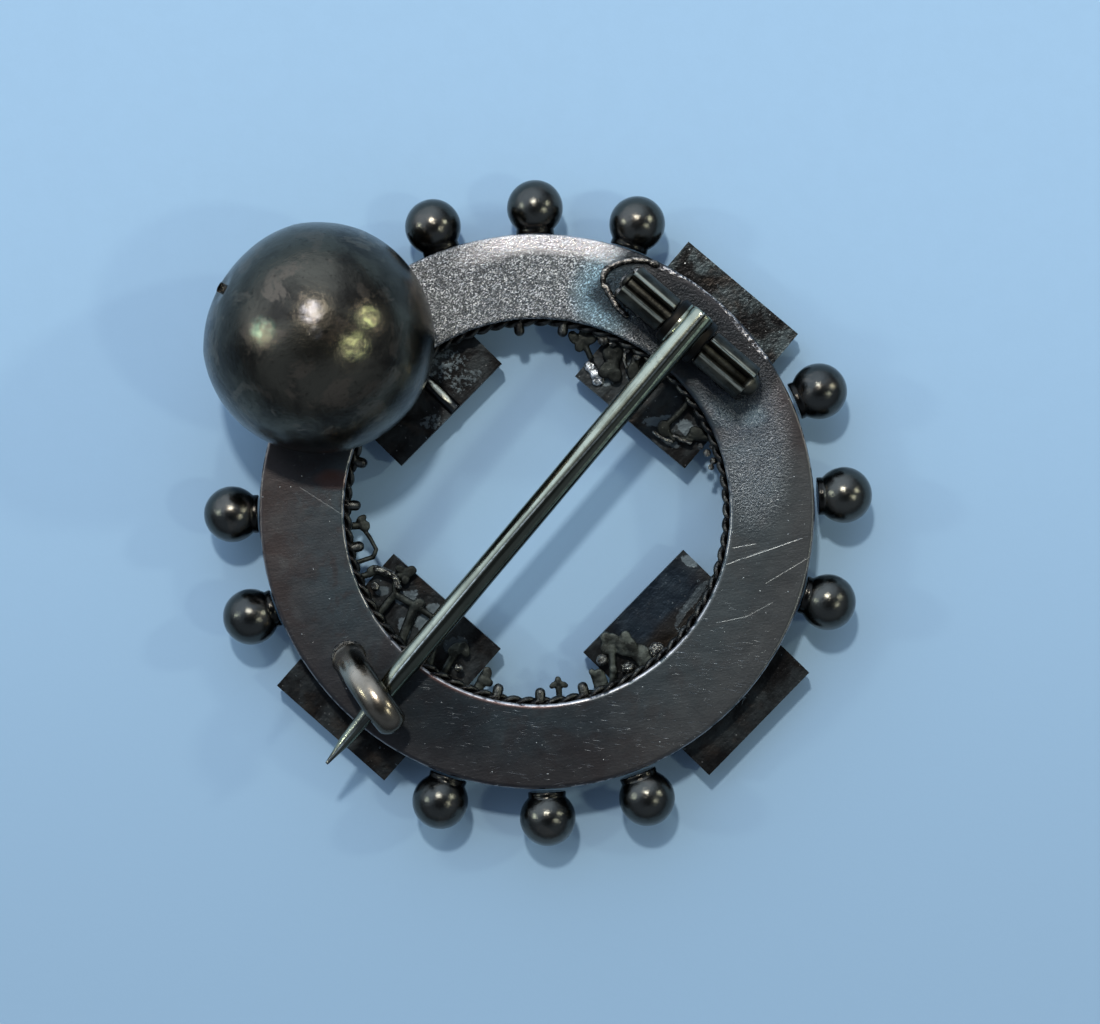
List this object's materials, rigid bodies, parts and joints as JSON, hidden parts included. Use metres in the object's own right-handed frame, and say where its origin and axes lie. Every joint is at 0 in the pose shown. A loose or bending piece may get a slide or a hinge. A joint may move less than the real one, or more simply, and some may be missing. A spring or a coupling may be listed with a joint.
{
  "type": "silver brooch",
  "caption": "Round silver brooch lying face down: pierced ring with balls round its rim, one large ball, rectangular plates, twisted wire, and a hinged pin under a hook",
  "frame": {"origin": "middle of the ring, on the plane that the plates' fronts and the large ball rest on", "axes": "+Z points out of the brooch's back, where the pin is; +Y points to the top of the picture and +X to its right, the large ball lying towards -X and +Y"},
  "size_m": [0.0463, 0.0462, 0.0159],
  "materials": {
    "sheet": "tarnished, fine brushed, with purple and blue-grey patches",
    "rope": "tarnished dark in the grooves, worn bright on the lobes",
    "plates": "dark tarnish, nearly matt, with paler rubbed patches",
    "balls": "dark glossy tarnish",
    "leaves": "grey-green tarnish, satin",
    "hinge": "satin, worn bright on the ridges",
    "pin": "bright, slightly yellow, lengthwise brushed"
  },
  "bodies": {
    "brooch": {"back_sheet": "sheet", "ring_case": "sheet", "inner_rope": "rope", "plate_ne": "plates", "plate_nw": "plates", "plate_sw": "plates", "plate_se": "plates", "big_ball": "balls", "leaf_ne": "leaves", "leaf_se": "leaves", "leaf_sw": "leaves", "leaf_w": "leaves", "leaf_s": "leaves", "hinge_tube_left": "hinge", "hinge_tube_right": "hinge", "hinge_rivet": "hinge", "catch_hook": "hinge", "small_ball_01": "balls", "small_ball_02": "balls", "small_ball_03": "balls", "small_ball_04": "balls", "small_ball_05": "balls", "small_ball_06": "balls", "small_ball_07": "balls", "small_ball_08": "balls", "small_ball_09": "balls", "small_ball_10": "balls", "small_ball_11": "balls"},
    "pin": {"pin_stem": "pin"}
  },
  "joints": [
    {"name": "pin_hinge", "type": "hinge", "parent": "brooch", "child": "pin", "pos_m": [0.01026, 0.01231, 0.0066], "axis": [-0.7581, 0.6521, 0], "range_deg": [0, 85]}
  ]
}
